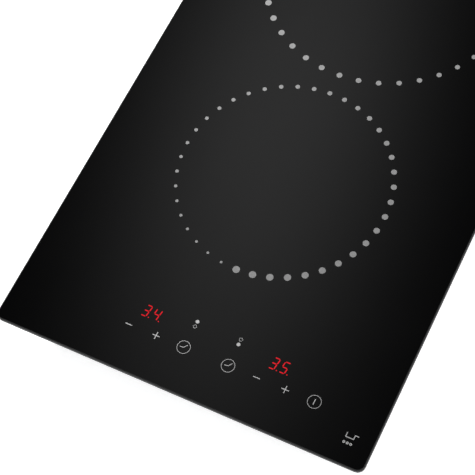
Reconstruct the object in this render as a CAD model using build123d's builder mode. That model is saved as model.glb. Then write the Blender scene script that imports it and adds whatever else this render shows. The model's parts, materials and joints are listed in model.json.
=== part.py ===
from build123d import *
from dataclasses import dataclass
from math import cos, pi, sin
import os

# Built-in induction hob with two cooking zones, one behind the other.
# Millimetres, +Z up, +X to the right, +Y towards the back.
# The origin lies on the worktop's surface, under the centre of the glass.

# Glass plate
glass_width = 288.0
glass_depth = 520.0
glass_thickness = 4.0
glass_corner_radius = 6.0
glass_bevel = 0.8
glass_arris = 0.5

# Foam seal that carries the glass on the worktop
seal_thickness = 1.5
seal_width = 10.0
seal_inset = 1.5

# Printed dot rings that mark the zones
ink_thickness = 0.1
front_zone_inset = 183.0
zone_pitch = 196.0
front_ring_radius = 80.5
rear_ring_radius = 98.0
ring_dots = 40
largest_dot = 5.45
smallest_dot = 1.95

# Printed touch key symbols: three on the left, four on the right
key_row_inset = 33.5
key_pitch = 22.0
left_keys_x = -51.3
right_keys_x = 27.6
symbol_stroke = 0.6
plus_size = 5.6
minus_size = 5.1
power_bar = 4.4
circle_radius = 4.8
circle_stroke = 0.32
hand_stroke = 0.4
clock_elbow = (0.0, -0.2)
clock_hands = ((2.8, 184.0), (3.5, 52.5))

# Printed zone indicators
indicator_row_inset = 52.8
indicator_pitch = 4.0
indicator_radius = 1.35
indicator_stroke = 0.24
left_indicator_x = -7.1
right_indicator_x = 27.2

# Lit digits
display_row_inset = 48.0
left_display_x = -40.3
right_display_x = 60.5
digit_height = 8.5
digit_width = 4.0
digit_stroke = 0.75
digit_pitch = 8.05
digit_slant = 0.16
segment_gap = 0.25
lit_segments = {"3": "abcdg", "4": "bcfg", "5": "acdfg"}
point_radius = 0.42
point_offset = 2.5

# Pot pictogram in the front corner
pictogram_x = 126.2
pictogram_inset = 19.3
pot_width = 6.4
pot_height = 3.6
pot_handle = 2.4
pictogram_stroke = 0.6
loop_radius = 0.95
loop_pitch = 2.5
loop_drop = 3.6

# Housing: sheet steel tray screwed into a steel frame that is bonded to the glass
glass_side_overhang = 16.0
glass_end_overhang = 20.0
tray_wall = 0.8
tray_corner_radius = 6.0
tray_bottom_radius = 2.0
electronics_height = 24.0
frame_wall = 1.0
frame_gap = 0.2
frame_flange = 9.0
frame_skirt = 15.0
bead_thickness = 1.0
bead_width = 6.0
bead_inset = 1.0

# Coil stack, from the glass down
insulation_thickness = 2.5
litz_radius = 2.0
litz_gap = 0.2
litz_clearance = 0.05
winding_inner_radius = 24.0
former_thickness = 2.0
former_rim = 2.0
rim_clearance = 1.0
hub_radius = 20.0
hub_bore_radius = 12.0
hub_ledge_radius = 9.0
rib_thickness = 1.5
rib_clearance = 0.2
ferrite_width = 12.0
ferrite_thickness = 4.0
ferrite_margin = 3.0
shield_thickness = 1.0
shield_inset = 1.0
spring_gap = 7.0
carrier_thickness = 1.5
terminal_length = 7.0
terminal_width = 18.0
terminal_height = 5.0

# Coil springs and their seats
spring_radius = 4.5
spring_wire_radius = 0.5
spring_turns = 2.5
spring_clearance = 0.05
spring_inset = 12.0
spring_count = 3
seat_radius = 3.5
seat_height = 1.5

# Heat sensors
sensor_neck_radius = 7.0
sensor_flange_radius = 11.5
sensor_flange_height = 2.0
sensor_stem_radius = 8.8
sensor_stem_length = 3.0
sensor_hole_clearance = 1.0
sensor_lead_radius = 1.0
sensor_lead_shift = 8.0

# Coil carrier
carrier_clearance = 0.6
carrier_corner_radius = 4.0
carrier_shift = 1.0
carrier_depth = 414.0
carrier_screw_pitch = 190.0
carrier_screw_inset = 6.2
lug_length = 10.0
lug_width = 14.0
passage_radius = 6.0

# Screws: M3 for boards and sheet metal, M4 for the clamps
screw_radius = 1.5
screw_clearance = 0.05
screw_head_radius = 2.8
screw_head_height = 1.8
recess_length = 3.0
recess_width = 0.7
recess_depth = 1.0
short_screw = 5.0

# Power board
board_thickness = 1.6
board_gap = 3.0
board_boss_radius = 3.5
power_board_width = 236.0
power_board_depth = 280.0
power_board_y = -10.0
board_screw_pitch_x = 224.0
board_screw_pitch_y = 114.0
board_screw_y = -29.0

# Heat sink and what it cools
sink_x = -70.0
sink_y = 50.0
sink_width = 70.0
sink_length = 130.0
sink_base = 3.0
sink_fin_height = 9.5
sink_fin_thickness = 1.5
sink_fin_count = 10
sink_leg = 5.0
device_height = 5.0
transistor_size = (21.0, 16.0)
transistor_x = -46.0
transistor_pitch = 25.0
transistor_count = 4
rectifier_size = (20.0, 22.0)
rectifier_x = -92.0
device_leg_length = 7.0
device_leg_width = 1.2
device_leg_thickness = 0.6
device_leg_pitch = 5.0

# Board components: sizes are length (X), width (Y), height (Z)
resonance_capacitor = (32.0, 18.0, 17.0)
resonance_capacitor_at = (-5.0, 53.0)
resonance_capacitor_pitch = 22.0
resonance_capacitor_count = 4
link_capacitor = (26.0, 20.0, 16.0)
link_capacitor_at = (38.0, 45.0)
link_capacitor_pitch = 30.0
mains_capacitor = (26.0, 10.0, 15.0)
mains_capacitor_at = (45.0, 104.0)
mains_capacitor_pitch = 17.0
capacitor_radius = 1.0
capacitor_bevel = 0.5
choke_at = (85.0, 60.0)
choke_inner_radius = 8.0
choke_outer_radius = 16.0
choke_height = 11.0
choke_base = 1.5
choke_wire_radius = 0.9
choke_wire_clearance = 0.1
choke_wires = 9
choke_loop_spread = 120.0
relay_size = (28.0, 13.0, 15.0)
relay_at = (85.0, 95.0)
fuse_at = (74.0, 120.0)
fuse_radius = 2.6
fuse_length = 20.0
fuse_cap_length = 5.0
fuse_cap_radius = 2.8
fuse_clip_length = 2.5
fuse_height = 5.0
transformer_size = (24.0, 22.0, 17.0)
transformer_at = (85.0, 15.0)
transformer_core = 9.0
transformer_rim = 2.8
transformer_winding = 16.0
chip_places = ((0.0, -55.0), (42.0, -60.0), (-52.0, -62.0))
chip_size = (14.0, 14.0, 1.6)

# Mains terminals
terminal_block_x = 85.0
terminal_back_gap = 44.0
terminal_block_size = (62.0, 24.0, 16.0)
terminal_poles = 5
terminal_pole_pitch = 11.5
terminal_well_radius = 3.6
terminal_well_depth = 7.0
terminal_screw_radius = 2.8
terminal_screw_height = 2.5
terminal_entry_radius = 2.4
terminal_entry_height = 5.3
cover_wall = 1.5
cover_clearance = 1.5

# Mains cable inlet in the back wall
inlet_x = 85.0
inlet_z = -30.0
bush_bore_radius = 5.5
bush_groove_radius = 8.0
bush_flange_radius = 10.5
bush_flange = 2.5
bush_bevel = 0.8

# Cooling fan
fan_x = -70.0
fan_back_gap = 55.0
fan_size = 80.0
fan_corner_radius = 4.0
fan_height = 15.0
fan_bore_radius = 38.0
fan_screw_pitch = 71.5
fan_motor_radius = 17.0
fan_strut_width = 3.0
fan_strut_height = 2.0
rotor_hub_radius = 16.0
rotor_hub_height = 11.0
rotor_lift = 1.0
rotor_tip_radius = 34.0
rotor_blades = 7
blade_chord = 17.0
blade_rise = 8.0
blade_sag = 1.8
blade_thickness = 1.2
fan_shaft_radius = 1.5
fan_shaft_clearance = 0.05

# Ventilation slots in the tray
inlet_rings = ((15.0, 12, 10.0), (29.0, 24, 12.0))
inlet_slot_width = 3.2
vent_length = 14.0
vent_width = 3.0
vent_pitch = 7.0
vent_count = 26
vent_drop = 30.0
vent_cut = 2.0
floor_vent_length = 30.0
floor_vent_rows = 9
floor_vent_y = -190.0

# Control board behind the keys
control_x = 22.0
control_shift = 12.5
control_width = 180.0
control_depth = 44.0
touch_spring_length = 8.0
touch_spring_radius = 3.0
touch_wire_radius = 0.3
touch_spring_turns = 6
display_size = (19.0, 13.5, 7.6)
light_pipe_radius = 1.3
bracket_wall = 1.5
bracket_ledge = 3.0
bracket_depth = 5.6
bracket_clearance = 0.2
bracket_leg_radius = 4.5
bracket_leg_inset = 7.0

# Ribbon cable between the boards
ribbon_x = 20.0
ribbon_width = 14.0
ribbon_thickness = 1.0
ribbon_shift = 26.5
ribbon_end_y = -142.0
connector_size = (18.0, 6.0, 6.0)
ribbon_opening = (24.0, 12.0)
ribbon_run_z = -26.0
ribbon_radii = (4.0, 3.0)

# Coil leads
lead_radius = 2.0
lead_spread = 5.0
lead_reach = 12.0
lead_bend_radius = 5.0

# Swivel clamps under the tray's corners
clamp_side_inset = 14.0
clamp_end_inset = 35.0
clamp_boss_radius = 7.0
clamp_boss_height = 3.5
clamp_length = 38.0
clamp_width = 16.0
clamp_thickness = 2.0
clamp_lip = 3.0
clamp_lip_length = 2.0
clamp_gap = 0.1
clamp_screw_radius = 2.0
clamp_screw_clearance = 0.06
clamp_head_radius = 4.0
clamp_head_height = 2.2
clamp_recess = 4.4

# Frame screws: three in each long side, two in the back
frame_screw_pitch = 160.0
frame_screw_drop = 8.0
back_screw_pitch = 120.0

# Heights worked out from the stack
glass_bottom_z = seal_thickness
glass_top_z = glass_bottom_z + glass_thickness
frame_top_z = glass_bottom_z - bead_thickness
tray_top_z = frame_top_z - frame_wall
insulation_z = glass_bottom_z - insulation_thickness
litz_z = insulation_z - litz_clearance - litz_radius
former_top_z = litz_z - litz_radius - litz_clearance
former_bottom_z = former_top_z - former_thickness
ferrite_bottom_z = former_bottom_z - ferrite_thickness
shield_bottom_z = ferrite_bottom_z - shield_thickness
carrier_top_z = shield_bottom_z - spring_gap
carrier_bottom_z = carrier_top_z - carrier_thickness
floor_top_z = carrier_bottom_z - electronics_height
tray_bottom_z = floor_top_z - tray_wall
board_bottom_z = floor_top_z + board_gap
board_top_z = board_bottom_z + board_thickness
fan_top_z = floor_top_z + fan_height
control_top_z = glass_bottom_z - touch_spring_length
control_bottom_z = control_top_z - board_thickness
clamp_top_z = tray_bottom_z - clamp_boss_height - clamp_gap
clamp_bottom_z = clamp_top_z - clamp_thickness
clamp_head_z = clamp_bottom_z - clamp_gap
frame_screw_z = tray_top_z - frame_screw_drop
vent_z = tray_top_z - vent_drop

# Places worked out from the glass and its housing
tray_width = glass_width - 2 * glass_side_overhang
tray_depth = glass_depth - 2 * glass_end_overhang
glass_front_y = -glass_depth / 2
front_zone_y = glass_front_y + front_zone_inset
rear_zone_y = front_zone_y + zone_pitch
key_row_y = glass_front_y + key_row_inset
indicator_row_y = glass_front_y + indicator_row_inset
display_row_y = glass_front_y + display_row_inset
left_keys = [left_keys_x + key_pitch * index for index in range(3)]
right_keys = [right_keys_x + key_pitch * index for index in range(4)]
frame_width = tray_width + 2 * (frame_gap + frame_wall)
frame_depth = tray_depth + 2 * (frame_gap + frame_wall)
frame_corner_radius = tray_corner_radius + frame_gap + frame_wall
tray_inner_x = tray_width / 2 - tray_wall
tray_back_y = tray_depth / 2
carrier_centre_y = (front_zone_y + rear_zone_y) / 2 + carrier_shift
carrier_screw_x = tray_inner_x - carrier_screw_inset
fan_at = (fan_x, tray_back_y - fan_back_gap)
terminal_block_at = (terminal_block_x, tray_back_y - terminal_back_gap)
control_y = key_row_y + control_shift
ribbon_start_y = key_row_y + ribbon_shift
clamp_x = tray_width / 2 - clamp_side_inset
clamp_y = tray_back_y - clamp_end_inset
screw_hole_radius = screw_radius + screw_clearance
clamp_hole_radius = clamp_screw_radius + clamp_screw_clearance

litz_pitch = 2 * litz_radius + litz_gap

ON_TOP = (Align.CENTER, Align.CENTER, Align.MIN)
HANGING = (Align.CENTER, Align.CENTER, Align.MAX)


@dataclass
class Zone:
    """One cooking zone: its coil has a number of litz turns over a ring of ferrite bars."""

    name: str
    centre_y: float
    ring_radius: float
    first_dot: float
    turns: int
    ferrites: int

    @property
    def winding_radius(self):
        return winding_inner_radius + self.turns * litz_pitch + litz_radius

    @property
    def former_radius(self):
        return self.winding_radius + rim_clearance + former_rim

    @property
    def ferrite_length(self):
        return self.winding_radius - hub_radius - 2 * ferrite_margin

    @property
    def spring_circle(self):
        return self.former_radius - spring_inset

    @property
    def lead_x(self):
        return self.former_radius + terminal_length / 2 + lead_reach


front_zone = Zone("front", front_zone_y, front_ring_radius, 0.0, 11, 6)
rear_zone = Zone("rear", rear_zone_y, rear_ring_radius, pi, 15, 8)


# Helpers: each draws into the sketch, line or part that is open


def draw_band(width, depth, corner_radius, band):
    """A rectangular band with rounded corners, measured over its outside."""
    RectangleRounded(width, depth, corner_radius)
    inner_radius = max(corner_radius - band, corner_radius / 2)
    RectangleRounded(width - 2 * band, depth - 2 * band, inner_radius, mode=Mode.SUBTRACT)


def draw_ring(radius, stroke):
    """A circular line of the given stroke, measured over its outside."""
    Circle(radius)
    Circle(radius - stroke, mode=Mode.SUBTRACT)


def add_screw(length, radius=screw_radius, head_radius=screw_head_radius, head=screw_head_height):
    """A pan head screw that points down, with its head's underside at the location."""
    Cylinder(head_radius, head, align=ON_TOP)
    Cylinder(radius, length, align=HANGING)
    with Locations((0, 0, head)):
        Box(recess_length, recess_width, recess_depth, align=HANGING, mode=Mode.SUBTRACT)
        Box(recess_width, recess_length, recess_depth, align=HANGING, mode=Mode.SUBTRACT)


def make_tube(points, radii, radius):
    """A round lead along straight runs joined by arcs."""
    with BuildPart() as tube:
        with BuildLine() as route:
            FilletPolyline(*points, radius=radii)
        with BuildSketch(Plane(origin=route.line @ 0, z_dir=route.line % 0)):
            Circle(radius)
        sweep(path=route.wires()[0])
    return tube


def make_spring(radius, wire_radius, length, turns):
    """A compression spring that stands on the origin, clear of what it presses on."""
    coil_height = length - 2 * (wire_radius + spring_clearance)
    with BuildPart() as spring:
        with BuildLine() as coil:
            start_height = wire_radius + spring_clearance
            Helix(coil_height / turns, coil_height, radius, center=(0, 0, start_height))
        with BuildSketch(Plane(origin=coil.line @ 0, z_dir=coil.line % 0)):
            Circle(wire_radius)
        sweep(path=coil.wires()[0], is_frenet=True)
    return spring


# Glass, print and seal


def make_glass_plate():
    with BuildPart() as glass_plate:
        with BuildSketch(Plane.XY.offset(glass_bottom_z)):
            RectangleRounded(glass_width, glass_depth, glass_corner_radius)
        extrude(amount=glass_thickness)
        chamfer(glass_plate.faces().sort_by(Axis.Z)[-1].edges(), glass_bevel)
        chamfer(glass_plate.faces().sort_by(Axis.Z)[0].edges(), glass_arris)
    return glass_plate


def make_zone_print(zone):
    """Dots that shrink evenly as they run anticlockwise round the ring."""
    scale_to_front = zone.ring_radius / front_ring_radius
    with BuildPart() as zone_print:
        with BuildSketch(Plane.XY.offset(glass_top_z)):
            for index in range(ring_dots):
                angle = zone.first_dot + 2 * pi * index / ring_dots
                share = index / (ring_dots - 1)
                diameter = largest_dot + (smallest_dot - largest_dot) * share
                x = zone.ring_radius * sin(angle)
                y = zone.centre_y - zone.ring_radius * cos(angle)
                with Locations((x, y)):
                    Circle(diameter * scale_to_front / 2)
        extrude(amount=ink_thickness)
    return zone_print


def draw_minus():
    Rectangle(minus_size, symbol_stroke)


def draw_plus():
    Rectangle(plus_size, symbol_stroke)
    Rectangle(symbol_stroke, plus_size)


def draw_power():
    draw_ring(circle_radius + circle_stroke / 2, circle_stroke)
    Rectangle(symbol_stroke, power_bar)


def draw_clock():
    draw_ring(circle_radius + circle_stroke / 2, circle_stroke)
    with Locations(clock_elbow):
        Circle(hand_stroke / 2)
        for length, angle in clock_hands:
            Rectangle(length, hand_stroke, rotation=angle, align=(Align.MIN, Align.CENTER))


def draw_zone_indicators(filled_side):
    """Two circles: the filled one stands for the zone that the display beside it belongs to."""
    with Locations((0, filled_side * indicator_pitch / 2)):
        Circle(indicator_radius)
    with Locations((0, -filled_side * indicator_pitch / 2)):
        draw_ring(indicator_radius, indicator_stroke)


def draw_pictogram():
    """An open pot with a handle, over three coil loops."""
    on_base = (Align.CENTER, Align.MIN)
    Rectangle(pot_width, pot_height, align=on_base)
    with Locations((0, pictogram_stroke)):
        inner_width = pot_width - 2 * pictogram_stroke
        Rectangle(inner_width, pot_height, align=on_base, mode=Mode.SUBTRACT)
    with Locations((pot_width / 2, pot_height)):
        Rectangle(pot_handle, pictogram_stroke, align=(Align.MIN, Align.MAX))
    with Locations((0, -loop_drop)):
        with GridLocations(loop_pitch, loop_pitch, 3, 1):
            draw_ring(loop_radius, pictogram_stroke)


def make_symbols_print():
    """The key symbols, the zone indicators and the pictogram, in one ink."""
    draw_symbols = [draw_minus, draw_plus, draw_clock]
    draw_symbols += [draw_clock, draw_minus, draw_plus, draw_power]
    with BuildPart() as symbols_print:
        with BuildSketch(Plane.XY.offset(glass_top_z)):
            for x, draw_symbol in zip(left_keys + right_keys, draw_symbols):
                with Locations((x, key_row_y)):
                    draw_symbol()
            with Locations((left_indicator_x, indicator_row_y)):
                draw_zone_indicators(1)
            with Locations((right_indicator_x, indicator_row_y)):
                draw_zone_indicators(-1)
            with Locations((pictogram_x, glass_front_y + pictogram_inset)):
                draw_pictogram()
        extrude(amount=ink_thickness)
    return symbols_print


def slanted(x, y):
    """A point of an upright digit, moved over by the digits' slant."""
    return Vector(x + digit_slant * y, y)


def draw_segment(start, end):
    """One bar of a digit, pointed at both ends."""
    along = (end - start).normalized()
    tip = along * (digit_stroke / 2)
    side = along.rotate(Axis.Z, 90) * (digit_stroke / 2)
    first = start + along * segment_gap
    last = end - along * segment_gap
    corners = [first, first + tip - side, last - tip - side]
    corners += [last, last - tip + side, first + tip + side]
    Polygon(*corners)


def draw_digit(segments):
    """A seven-segment digit: the letters name its lit bars in the usual order."""
    right = digit_width / 2
    top = digit_height / 2
    bars = {
        "a": (slanted(-right, top), slanted(right, top)),
        "b": (slanted(right, 0), slanted(right, top)),
        "c": (slanted(right, -top), slanted(right, 0)),
        "d": (slanted(-right, -top), slanted(right, -top)),
        "f": (slanted(-right, 0), slanted(-right, top)),
        "g": (slanted(-right, 0), slanted(right, 0)),
    }
    for letter in segments:
        draw_segment(*bars[letter])
    point = slanted(right, -top)
    with Locations((point.X + point_offset - digit_stroke / 2, point.Y)):
        Circle(point_radius)


def make_display_digits():
    """The lit digits 3.4. and 3.5., where their light leaves the glass."""
    with BuildPart() as display_digits:
        with BuildSketch(Plane.XY.offset(glass_top_z)):
            for centre_x, digits in ((left_display_x, "34"), (right_display_x, "35")):
                for side, digit in zip((-1, 1), digits):
                    with Locations((centre_x + side * digit_pitch / 2, display_row_y)):
                        draw_digit(lit_segments[digit])
        extrude(amount=ink_thickness)
    return display_digits


def make_edge_seal():
    with BuildPart() as edge_seal:
        with BuildSketch():
            width = glass_width - 2 * seal_inset
            depth = glass_depth - 2 * seal_inset
            draw_band(width, depth, glass_corner_radius - seal_inset, seal_width)
        extrude(amount=seal_thickness)
    return edge_seal


def make_adhesive_bead():
    with BuildPart() as adhesive_bead:
        with BuildSketch(Plane.XY.offset(frame_top_z)):
            width = frame_width - 2 * bead_inset
            depth = frame_depth - 2 * bead_inset
            draw_band(width, depth, frame_corner_radius - bead_inset, bead_width)
        extrude(amount=bead_thickness)
    return adhesive_bead


# Housing


def cut_frame_screw_holes(part_width, part_depth):
    """Holes for the frame screws, through the long sides and the back of the open part."""
    with BuildSketch(Plane.YZ.offset(part_width / 2)) as side_holes:
        with Locations((0, frame_screw_z)):
            with GridLocations(frame_screw_pitch, frame_screw_pitch, 3, 1):
                Circle(screw_hole_radius)
    extrude(side_holes.sketch, amount=-part_width, mode=Mode.SUBTRACT)
    with BuildSketch(Plane.XZ.offset(-part_depth / 2)) as back_holes:
        with Locations((0, frame_screw_z)):
            with GridLocations(back_screw_pitch, back_screw_pitch, 2, 1):
                Circle(screw_hole_radius)
    extrude(back_holes.sketch, amount=vent_cut, mode=Mode.SUBTRACT)


def make_mounting_frame():
    with BuildPart() as mounting_frame:
        with BuildSketch(Plane.XY.offset(frame_top_z)):
            draw_band(frame_width, frame_depth, frame_corner_radius, frame_flange)
        extrude(amount=-frame_wall)
        with BuildSketch(Plane.XY.offset(frame_top_z)):
            draw_band(frame_width, frame_depth, frame_corner_radius, frame_wall)
        extrude(amount=-frame_skirt)
        cut_frame_screw_holes(frame_width, frame_depth)
    return mounting_frame


def cut_wall_vents():
    """Upright slots along the front wall, and along the fan's half of the back wall."""
    with BuildSketch(Plane.XZ.offset(tray_back_y)) as front_vents:
        with Locations((0, vent_z)):
            with GridLocations(vent_pitch, vent_pitch, vent_count, 1):
                SlotOverall(vent_length, vent_width, rotation=90)
    extrude(front_vents.sketch, amount=-vent_cut, mode=Mode.SUBTRACT)
    with BuildSketch(Plane.XZ.offset(-tray_back_y)) as back_vents:
        with Locations((fan_at[0], vent_z)):
            with GridLocations(vent_pitch, vent_pitch, vent_count // 2, 1):
                SlotOverall(vent_length, vent_width, rotation=90)
    extrude(back_vents.sketch, amount=vent_cut, mode=Mode.SUBTRACT)


def cut_floor_openings():
    """The fan's inlet grille and a field of slots under the controls."""
    with BuildSketch(Plane.XY.offset(tray_bottom_z)) as floor_slots:
        with Locations(fan_at):
            for radius, count, length in inlet_rings:
                with PolarLocations(radius, count):
                    SlotOverall(length, inlet_slot_width)
        with Locations((0, floor_vent_y)):
            with GridLocations(2 * floor_vent_length, vent_pitch, 3, floor_vent_rows):
                SlotOverall(floor_vent_length, vent_width)
    extrude(floor_slots.sketch, amount=tray_wall, mode=Mode.SUBTRACT)


def add_tray_bosses():
    """Bosses under the power board, lugs for the coil carrier and spacers for the clamps."""
    with Locations((0, board_screw_y, floor_top_z)):
        with GridLocations(board_screw_pitch_x, board_screw_pitch_y, 2, 3):
            Cylinder(board_boss_radius, board_gap, align=ON_TOP)
    lug_x = tray_inner_x - (lug_length - tray_wall / 2) / 2
    with Locations((0, carrier_centre_y, carrier_bottom_z)):
        with GridLocations(2 * lug_x, carrier_screw_pitch, 2, 3):
            Box(lug_length + tray_wall / 2, lug_width, tray_wall, align=HANGING)
        with GridLocations(2 * carrier_screw_x, carrier_screw_pitch, 2, 3):
            Hole(screw_hole_radius, depth=tray_wall)
    with Locations((0, board_screw_y, board_bottom_z)):
        with GridLocations(board_screw_pitch_x, board_screw_pitch_y, 2, 3):
            Hole(screw_hole_radius, depth=board_gap + tray_wall)
    with Locations((0, 0, tray_bottom_z)):
        with GridLocations(2 * clamp_x, 2 * clamp_y, 2, 2):
            Cylinder(clamp_boss_radius, clamp_boss_height, align=HANGING)
    with Locations((0, 0, floor_top_z)):
        with GridLocations(2 * clamp_x, 2 * clamp_y, 2, 2):
            Hole(clamp_hole_radius, depth=tray_wall + clamp_boss_height)
    with Locations((fan_at[0], fan_at[1], floor_top_z)):
        with GridLocations(fan_screw_pitch, fan_screw_pitch, 2, 2):
            Hole(screw_hole_radius, depth=tray_wall)


def make_base_tray():
    with BuildPart() as base_tray:
        with BuildSketch(Plane.XY.offset(tray_bottom_z)):
            RectangleRounded(tray_width, tray_depth, tray_corner_radius)
        extrude(amount=tray_top_z - tray_bottom_z)
        fillet(base_tray.faces().sort_by(Axis.Z)[0].edges(), tray_bottom_radius)
        offset(amount=-tray_wall, openings=base_tray.faces().sort_by(Axis.Z)[-1])
        add_tray_bosses()
        cut_floor_openings()
        cut_wall_vents()
        cut_frame_screw_holes(tray_width, tray_depth)
        with BuildSketch(Plane.XZ.offset(-tray_back_y)):
            with Locations((inlet_x, inlet_z)):
                Circle(bush_groove_radius)
        extrude(amount=vent_cut, mode=Mode.SUBTRACT)
    return base_tray


def make_short_screws():
    """The short M3 screws of the frame, the coil carrier and the power board."""
    with BuildPart() as short_screws:
        for side in (-1, 1):
            for step in (-1, 0, 1):
                place = (side * frame_width / 2, step * frame_screw_pitch, frame_screw_z)
                with Locations(Location(place, (0, side * 90, 0))):
                    add_screw(short_screw)
            place = (side * back_screw_pitch / 2, frame_depth / 2, frame_screw_z)
            with Locations(Location(place, (-90, 0, 0))):
                add_screw(short_screw)
        with Locations((0, carrier_centre_y, carrier_top_z)):
            with GridLocations(2 * carrier_screw_x, carrier_screw_pitch, 2, 3):
                add_screw(short_screw)
        with Locations((0, board_screw_y, board_top_z)):
            with GridLocations(board_screw_pitch_x, board_screw_pitch_y, 2, 3):
                add_screw(short_screw)
    return short_screws


def make_cable_inlet_bush():
    """A round bush that grips the back wall in its groove."""
    with BuildPart() as cable_inlet_bush:
        with BuildSketch(Plane.XZ.offset(-tray_back_y - bush_flange)):
            with Locations((inlet_x, inlet_z)):
                Circle(bush_flange_radius)
        extrude(amount=bush_flange)
        with BuildSketch(Plane.XZ.offset(-tray_back_y)):
            with Locations((inlet_x, inlet_z)):
                Circle(bush_groove_radius)
        extrude(amount=tray_wall)
        with BuildSketch(Plane.XZ.offset(-tray_back_y + tray_wall)):
            with Locations((inlet_x, inlet_z)):
                Circle(bush_flange_radius)
        extrude(amount=bush_flange)
        with BuildSketch(Plane.XZ.offset(-tray_back_y - bush_flange)):
            with Locations((inlet_x, inlet_z)):
                Circle(bush_bore_radius)
        extrude(amount=2 * bush_flange + tray_wall, mode=Mode.SUBTRACT)
        outer_face = cable_inlet_bush.faces().sort_by(Axis.Y)[-1]
        chamfer(outer_face.outer_wire().edges(), bush_bevel)
    return cable_inlet_bush


# Coils


def make_coil_winding(zone):
    """A flat spiral of litz wire: half turns about two centres half a pitch apart."""
    half_pitch = litz_pitch / 2
    with BuildPart() as coil_winding:
        with BuildLine(Plane.XY.offset(litz_z)) as spiral:
            for half_turn in range(2 * zone.turns):
                centre_x = (half_turn % 2 - 0.5) * half_pitch
                radius = winding_inner_radius + half_turn * half_pitch
                start_angle = 180 * (half_turn % 2)
                CenterArc((centre_x, zone.centre_y), radius, start_angle, 180)
        with BuildSketch(Plane(origin=spiral.line @ 0, z_dir=spiral.line % 0)):
            Circle(litz_radius)
        sweep(path=spiral.wires()[0])
    return coil_winding


def make_coil_former(zone):
    """A disc that carries the winding between its hub and rim, ribbed for the ferrites."""
    wall_height = insulation_z - former_top_z
    with BuildPart() as coil_former:
        with Locations((0, zone.centre_y, former_bottom_z)):
            Cylinder(zone.former_radius, former_thickness, align=ON_TOP)
        with BuildSketch(Plane.XY.offset(former_top_z)):
            with Locations((0, zone.centre_y)):
                draw_ring(zone.former_radius, former_rim)
                draw_ring(hub_radius, hub_radius - hub_bore_radius)
        extrude(amount=wall_height)
        with Locations((zone.former_radius, zone.centre_y, former_bottom_z)):
            Box(terminal_length, terminal_width, terminal_height, align=ON_TOP)
        rib_offset = ferrite_width / 2 + rib_clearance + rib_thickness / 2
        rib_radius = (hub_radius + zone.winding_radius) / 2
        with BuildSketch(Plane.XY.offset(former_bottom_z)):
            with Locations((0, zone.centre_y)):
                with PolarLocations(rib_radius, zone.ferrites):
                    with Locations((0, rib_offset), (0, -rib_offset)):
                        Rectangle(zone.ferrite_length, rib_thickness)
        extrude(amount=-ferrite_thickness)
        with Locations((0, zone.centre_y, former_top_z)):
            Hole(hub_ledge_radius, depth=former_thickness)
    return coil_former


def make_ferrite_bars(zone):
    bar_radius = (hub_radius + zone.winding_radius) / 2
    with BuildPart() as ferrite_bars:
        with BuildSketch(Plane.XY.offset(ferrite_bottom_z)):
            with Locations((0, zone.centre_y)):
                with PolarLocations(bar_radius, zone.ferrites):
                    Rectangle(zone.ferrite_length, ferrite_width)
        extrude(amount=ferrite_thickness)
    return ferrite_bars


def make_coil_shield(zone):
    with BuildPart() as coil_shield:
        with BuildSketch(Plane.XY.offset(shield_bottom_z)):
            with Locations((0, zone.centre_y)):
                Circle(zone.former_radius - shield_inset)
                Circle(hub_bore_radius, mode=Mode.SUBTRACT)
        extrude(amount=shield_thickness)
    return coil_shield


def make_insulation_sheet(zone):
    with BuildPart() as insulation_sheet:
        with BuildSketch(Plane.XY.offset(insulation_z)):
            with Locations((0, zone.centre_y)):
                Circle(zone.former_radius)
                Circle(sensor_neck_radius + sensor_hole_clearance, mode=Mode.SUBTRACT)
        extrude(amount=insulation_thickness)
    return insulation_sheet


def make_heat_sensor(zone):
    """A silicone holder on the hub's ledge that presses its sensor to the glass."""
    with BuildPart() as heat_sensor:
        with Locations((0, zone.centre_y, former_top_z)):
            Cylinder(sensor_flange_radius, sensor_flange_height, align=ON_TOP)
            Cylinder(sensor_neck_radius, glass_bottom_z - former_top_z, align=ON_TOP)
            Cylinder(sensor_stem_radius, sensor_stem_length, align=HANGING)
    return heat_sensor


def make_coil_springs(zone):
    spring = make_spring(spring_radius, spring_wire_radius, spring_gap, spring_turns)
    with BuildPart() as coil_springs:
        with Locations((0, zone.centre_y, carrier_top_z)):
            with PolarLocations(zone.spring_circle, spring_count, start_angle=90):
                add(spring.part)
    return coil_springs


def make_coil_leads(zone):
    """Two sleeved leads from the former's terminals, down through the carrier to the board."""
    start_x = zone.former_radius + terminal_length / 2
    start_z = former_bottom_z + terminal_height / 2
    lead_tubes = []
    for side in (-1, 1):
        y = zone.centre_y + side * lead_spread
        points = [(start_x, y, start_z), (zone.lead_x, y, start_z), (zone.lead_x, y, board_top_z)]
        lead_tubes.append(make_tube(points, [lead_bend_radius], lead_radius))
    with BuildPart() as coil_leads:
        for tube in lead_tubes:
            add(tube.part)
    return coil_leads


def make_sensor_lead(zone):
    """A pair of sensor wires in one sleeve, stepped aside on its way down to the board."""
    top_z = former_top_z - sensor_stem_length
    drop = (top_z - board_top_z) / 3
    points = [(0, zone.centre_y, top_z), (0, zone.centre_y, top_z - drop)]
    points += [(sensor_lead_shift, zone.centre_y, top_z - 2 * drop)]
    points += [(sensor_lead_shift, zone.centre_y, board_top_z)]
    return make_tube(points, [drop, drop], sensor_lead_radius)


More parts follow.
